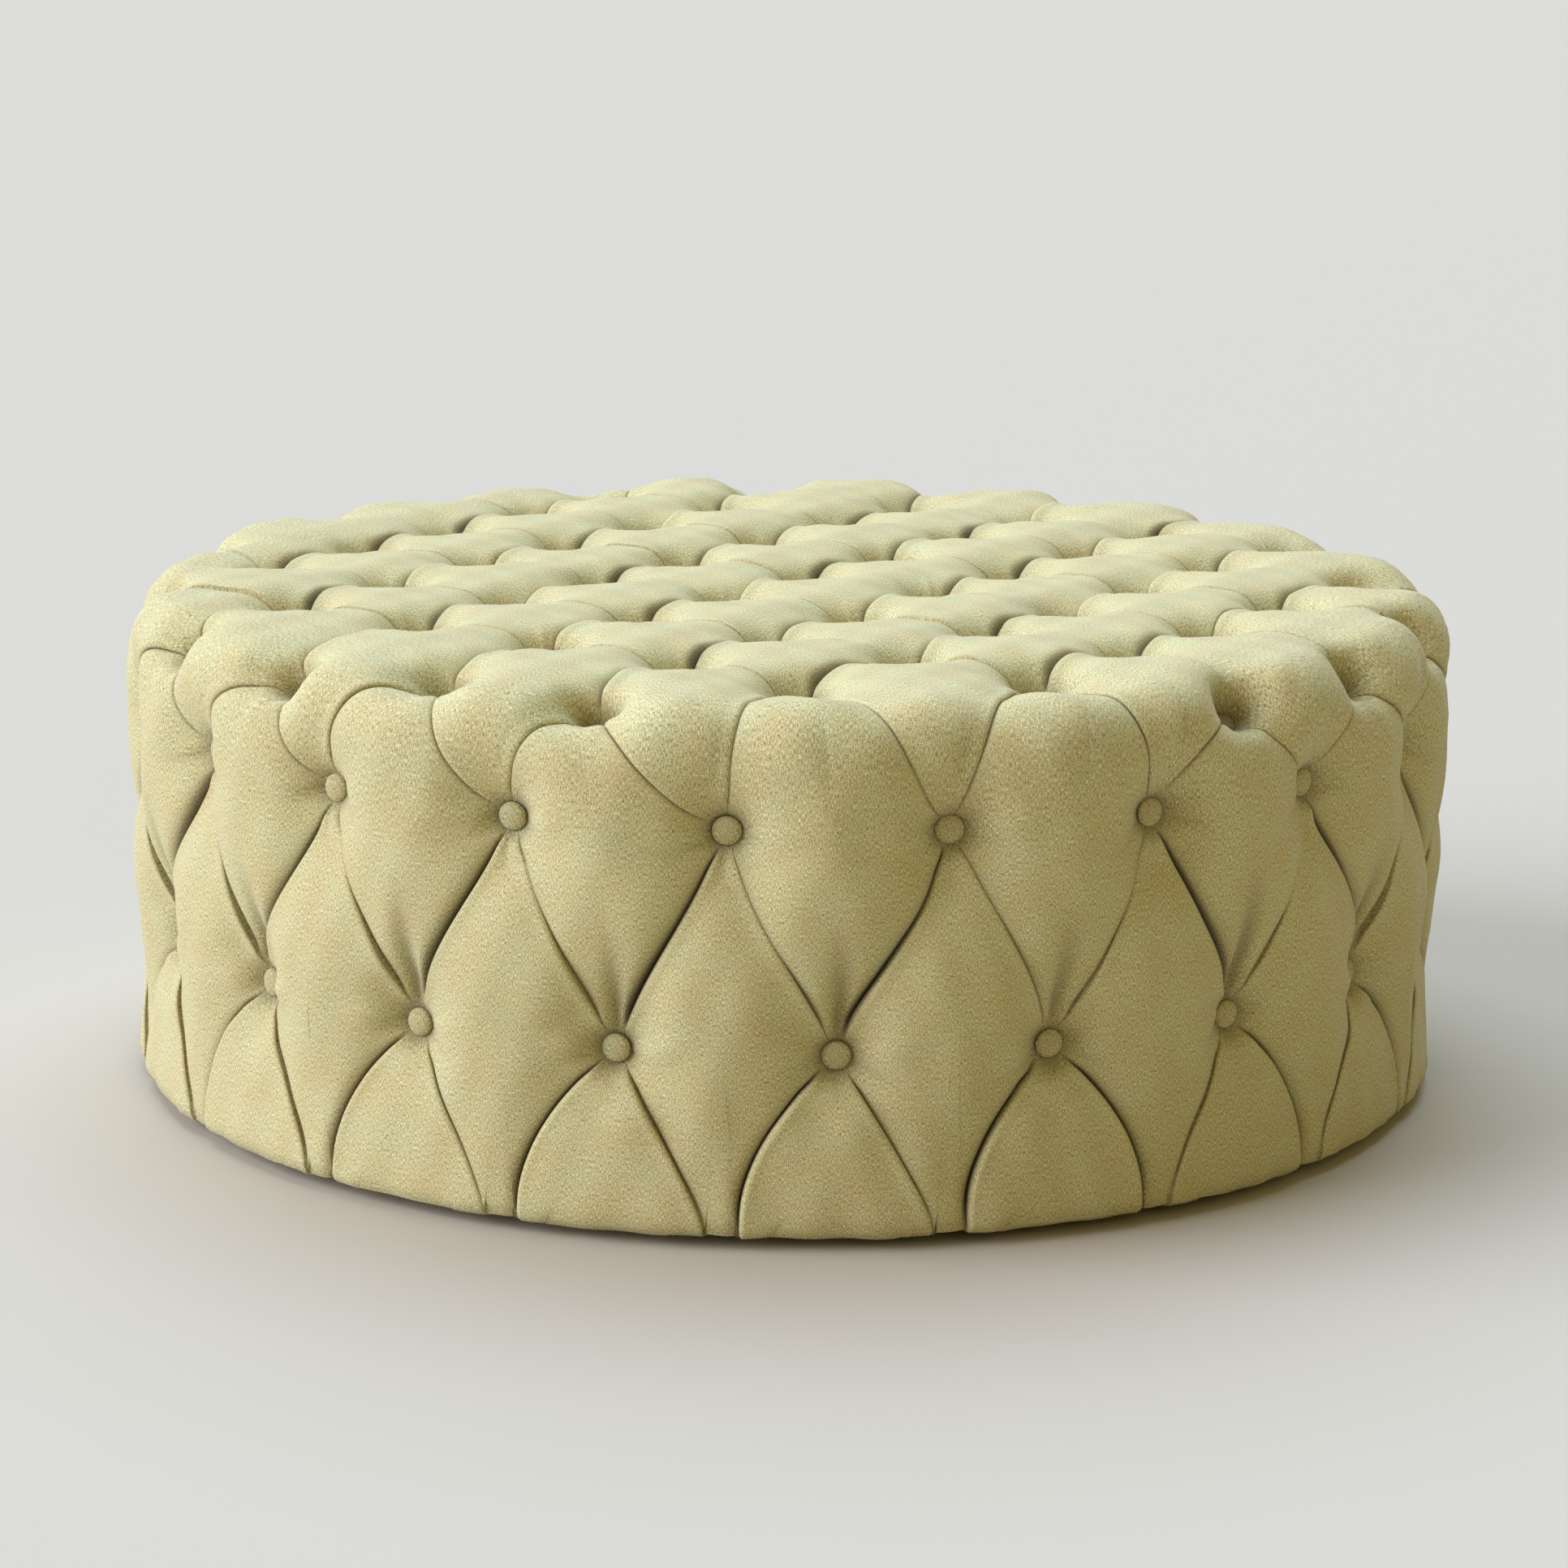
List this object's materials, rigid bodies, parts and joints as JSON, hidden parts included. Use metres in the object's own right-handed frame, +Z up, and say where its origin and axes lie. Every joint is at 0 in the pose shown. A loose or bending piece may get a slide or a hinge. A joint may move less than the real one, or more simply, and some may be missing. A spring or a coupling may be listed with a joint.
{
  "type": "ottoman coffee table",
  "caption": "Round upholstered ottoman coffee table with a deep diamond-tufted, buttoned cloth cover over a timber drum frame.",
  "frame": {"origin": "on the floor, under the middle of the drum", "axes": "+Z up; the pictured side faces -Y; the lattice of tufts on the top is turned about Z against X and Y"},
  "size_m": [1.2238, 1.2238, 0.4613],
  "materials": {
    "cover_cloth": "matt sage linen weave",
    "button_cloth": "same cloth as the cover",
    "wadding": "white polyester fibre",
    "foam": "open-cell upholstery foam",
    "plywood": "bare plywood",
    "hardboard": "bare hardboard",
    "pine": "planed pine",
    "twine": "waxed nylon tufting twine",
    "zinc_steel": "zinc plated",
    "dust_cloth": "black non-woven",
    "glide_plastic": "moulded nylon"
  },
  "bodies": {
    "root": {"base_rail_back": "pine", "base_rail_front": "pine", "base_rail_long": "pine", "base_ring": "plywood", "base_screws": "zinc_steel", "button_backs_rim": "zinc_steel", "button_backs_side_lower": "zinc_steel", "button_backs_side_upper": "zinc_steel", "button_backs_top": "zinc_steel", "button_caps_rim": "button_cloth", "button_caps_side_lower": "button_cloth", "button_caps_side_upper": "button_cloth", "button_caps_top": "button_cloth", "centre_post": "pine", "cover_staples": "zinc_steel", "deck_bearer": "pine", "deck_board": "plywood", "deck_joist_1": "pine", "deck_joist_2": "pine", "deck_joist_3": "pine", "deck_joist_4": "pine", "deck_screws": "zinc_steel", "dust_cover": "dust_cloth", "dust_cover_staples": "zinc_steel", "fibre_wadding": "wadding", "glides": "glide_plastic", "side_foam": "foam", "side_wall_back": "hardboard", "side_wall_front": "hardboard", "top_foam": "foam", "tufted_cover": "cover_cloth", "tufting_twine_side": "twine", "tufting_twine_top": "twine", "twine_washers_deck": "zinc_steel", "twine_washers_wall": "zinc_steel", "upright_01": "pine", "upright_02": "pine", "upright_03": "pine", "upright_04": "pine", "upright_05": "pine", "upright_06": "pine", "upright_07": "pine", "upright_08": "pine", "upright_09": "pine", "upright_10": "pine"}
  },
  "joints": []
}
